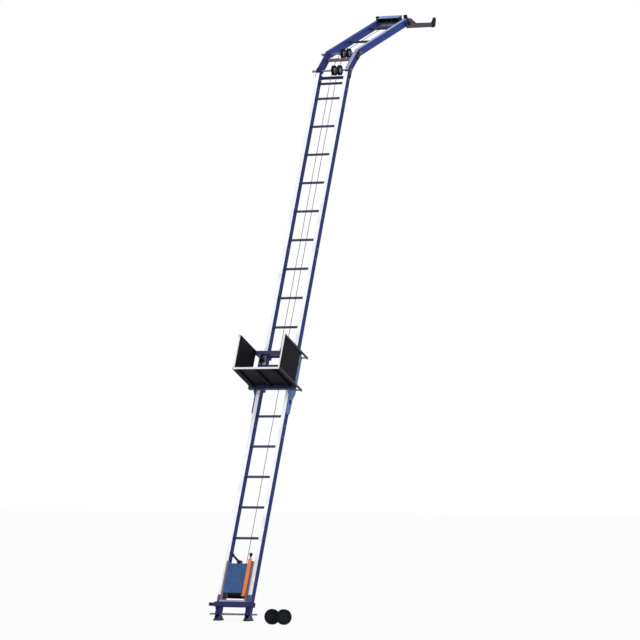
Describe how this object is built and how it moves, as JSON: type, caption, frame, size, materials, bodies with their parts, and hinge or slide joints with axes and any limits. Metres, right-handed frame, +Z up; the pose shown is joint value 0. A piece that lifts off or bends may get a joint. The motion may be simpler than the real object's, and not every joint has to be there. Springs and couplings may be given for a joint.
{
  "type": "material hoist",
  "caption": "Inclined ladder hoist: roller carriage with an open tray on bolted rail sections, rope winch at the foot, hinged knee and roof arm with rests.",
  "frame": {"origin": "on the ground midway between the two feet, below the wheel axle", "axes": "+Z up, +X across the ladder along the rungs, +Y from the feet towards the building"},
  "size_m": [1.1556, 5.3149, 6.5267],
  "materials": {
    "blue_enamel": "blue enamel, satin",
    "blue_steel": "satin",
    "pale_blue": "satin",
    "cover_blue": "satin",
    "orange": "satin",
    "black_steel": "satin",
    "grey_steel": "satin",
    "motor_black": "satin",
    "gear_grey": "cast",
    "bright_steel": "plated",
    "wire_rope": "wire rope",
    "black_plastic": "matte",
    "faced_board": "black film, pale cut edges",
    "black_rubber": "matte",
    "wheel_rubber": "matte"
  },
  "bodies": {
    "ladder": {"rails_lower": "blue_enamel", "rails_middle": "blue_enamel", "rails_upper": "blue_enamel", "rungs": "blue_enamel", "splice_spigots": "bright_steel", "splice_bolts": "bright_steel", "knee_foot": "blue_enamel", "knee_plates_lower": "black_steel", "knee_axle_lower": "bright_steel", "base_beam": "blue_steel", "beam_end_caps": "black_plastic", "wheel_axle": "bright_steel", "winch_frame": "orange", "winch_pan": "pale_blue", "winch_motor": "motor_black", "winch_gearbox": "gear_grey", "winch_cover": "cover_blue", "rope_winch_run": "wire_rope", "rope_moving_runs": "wire_rope"},
    "drum": {"winch_drum": "bright_steel", "drum_winding": "wire_rope"},
    "control": {"control_lever": "orange", "lever_knob": "black_plastic"},
    "limit": {"limit_lever": "black_steel"},
    "left_foot": {"foot_left": "grey_steel"},
    "right_foot": {"foot_right": "grey_steel"},
    "carriage": {"carriage_cheeks": "pale_blue", "carriage_beams": "blue_steel", "platform_floor": "faced_board", "platform_walls": "faced_board", "floor_bearers": "black_steel", "carriage_arms": "black_steel", "roller_axles": "bright_steel", "rope_socket": "bright_steel"},
    "front_upper_rollers": {"rollers_front_upper": "black_plastic"},
    "front_lower_rollers": {"rollers_front_lower": "black_plastic"},
    "rear_upper_rollers": {"rollers_rear_upper": "black_plastic"},
    "rear_lower_rollers": {"rollers_rear_lower": "black_plastic"},
    "haul_pulley_lower": {"pulley_haul_lower": "black_plastic"},
    "winch_pulley_lower": {"pulley_winch_lower": "black_plastic"},
    "haul_pulley_upper": {"pulley_haul_upper": "black_plastic"},
    "winch_pulley_upper": {"pulley_winch_upper": "black_plastic"},
    "link": {"link_rails": "blue_enamel", "knee_plates_upper": "black_steel", "knee_axle_upper": "bright_steel", "rope_link_runs": "wire_rope", "rope_bend_lower": "wire_rope"},
    "arm": {"arm_rails": "blue_enamel", "head_bracket": "blue_steel", "head_cover": "pale_blue", "end_stops": "black_rubber", "rope_arm_runs": "wire_rope", "rope_bend_upper": "wire_rope", "rest_pivot": "bright_steel", "rest_knobs": "black_plastic"},
    "sheave": {"head_sheave": "black_plastic"},
    "rests": {"roof_rests": "grey_steel", "rest_tips": "black_rubber"},
    "left_wheel": {"wheel_left": "wheel_rubber"},
    "right_wheel": {"wheel_right": "wheel_rubber"}
  },
  "joints": [
    {"name": "carriage_travel", "type": "slide", "parent": "ladder", "child": "carriage", "axis": [0, 0.3923, 0.9198], "range_m": [-1.74, 2.85], "deforming": ["rope_moving_runs"]},
    {"name": "front_upper_roll", "type": "hinge", "parent": "carriage", "child": "front_upper_rollers", "pos_m": [0, 1.02043, 2.62381], "axis": [1, 0, 0], "continuous": true},
    {"name": "front_lower_roll", "type": "hinge", "parent": "carriage", "child": "front_lower_rollers", "pos_m": [0, 0.92078, 2.39017], "axis": [1, 0, 0], "continuous": true},
    {"name": "rear_upper_roll", "type": "hinge", "parent": "carriage", "child": "rear_upper_rollers", "pos_m": [0, 1.1694, 2.64018], "axis": [1, 0, 0], "continuous": true},
    {"name": "rear_lower_roll", "type": "hinge", "parent": "carriage", "child": "rear_lower_rollers", "pos_m": [0, 1.02776, 2.30812], "axis": [1, 0, 0], "continuous": true},
    {"name": "drum_turn", "type": "hinge", "parent": "ladder", "child": "drum", "pos_m": [0, 0.16935, 0.42763], "axis": [1, 0, 0], "continuous": true},
    {"name": "haul_lower_turn", "type": "hinge", "parent": "ladder", "child": "haul_pulley_lower", "pos_m": [0, 2.41287, 5.7219], "axis": [1, 0, 0], "continuous": true},
    {"name": "winch_lower_turn", "type": "hinge", "parent": "ladder", "child": "winch_pulley_lower", "pos_m": [0, 2.41287, 5.7219], "axis": [1, 0, 0], "continuous": true},
    {"name": "haul_upper_turn", "type": "hinge", "parent": "link", "child": "haul_pulley_upper", "pos_m": [0, 2.64719, 5.92487], "axis": [1, 0, 0], "continuous": true},
    {"name": "winch_upper_turn", "type": "hinge", "parent": "link", "child": "winch_pulley_upper", "pos_m": [0, 2.64719, 5.92487], "axis": [1, 0, 0], "continuous": true},
    {"name": "sheave_turn", "type": "hinge", "parent": "arm", "child": "sheave", "pos_m": [0.033, 3.88245, 6.41989], "axis": [0, 0.3404, -0.9403], "continuous": true},
    {"name": "knee_lower", "type": "hinge", "parent": "ladder", "child": "link", "pos_m": [0, 2.41287, 5.7219], "axis": [1, 0, 0], "range_deg": [-8, 26], "deforming": ["rope_bend_lower"]},
    {"name": "knee_upper", "type": "hinge", "parent": "link", "child": "arm", "pos_m": [0, 2.64719, 5.92487], "axis": [1, 0, 0], "range_deg": [-8, 21], "deforming": ["rope_bend_upper"]},
    {"name": "roof_rest_tilt", "type": "hinge", "parent": "arm", "child": "rests", "pos_m": [0, 3.93879, 6.38179], "axis": [1, 0, 0], "range_deg": [-20, 6]},
    {"name": "control_lever_pull", "type": "hinge", "parent": "ladder", "child": "control", "pos_m": [0.118, -0.01241, 0.25511], "axis": [1, 0, 0], "range_deg": [0, 25]},
    {"name": "limit_lever_press", "type": "hinge", "parent": "ladder", "child": "limit", "pos_m": [-0.02, 0.15851, 0.58446], "axis": [0, -0.9198, 0.3923], "range_deg": [0, 10], "stiffness_Nm_per_rad": 10, "springref_deg": -2.29},
    {"name": "left_foot_tilt", "type": "hinge", "parent": "ladder", "child": "left_foot", "pos_m": [-0.165, 0, 0.065], "axis": [1, 0, 0], "range_deg": [-20, 20]},
    {"name": "right_foot_tilt", "type": "hinge", "parent": "ladder", "child": "right_foot", "pos_m": [0.165, 0, 0.065], "axis": [1, 0, 0], "range_deg": [-20, 20]},
    {"name": "left_wheel_lift", "type": "slide", "parent": "ladder", "child": "left_wheel", "axis": [0, 0, 1], "range_m": [0, 0.3]},
    {"name": "right_wheel_lift", "type": "slide", "parent": "ladder", "child": "right_wheel", "axis": [0, 0, 1], "range_m": [0, 0.3]}
  ],
  "couplings": [
    {"joint": "front_upper_roll", "follows": "carriage_travel", "rad_per_m": -40},
    {"joint": "front_lower_roll", "follows": "carriage_travel", "rad_per_m": -40},
    {"joint": "rear_upper_roll", "follows": "carriage_travel", "rad_per_m": 40},
    {"joint": "rear_lower_roll", "follows": "carriage_travel", "rad_per_m": 40},
    {"joint": "drum_turn", "follows": "carriage_travel", "rad_per_m": 17.094},
    {"joint": "haul_lower_turn", "follows": "carriage_travel", "rad_per_m": -22.222},
    {"joint": "winch_lower_turn", "follows": "carriage_travel", "rad_per_m": 22.222},
    {"joint": "haul_upper_turn", "follows": "carriage_travel", "rad_per_m": -22.222},
    {"joint": "winch_upper_turn", "follows": "carriage_travel", "rad_per_m": 22.222},
    {"joint": "sheave_turn", "follows": "carriage_travel", "rad_per_m": 30.303}
  ]
}
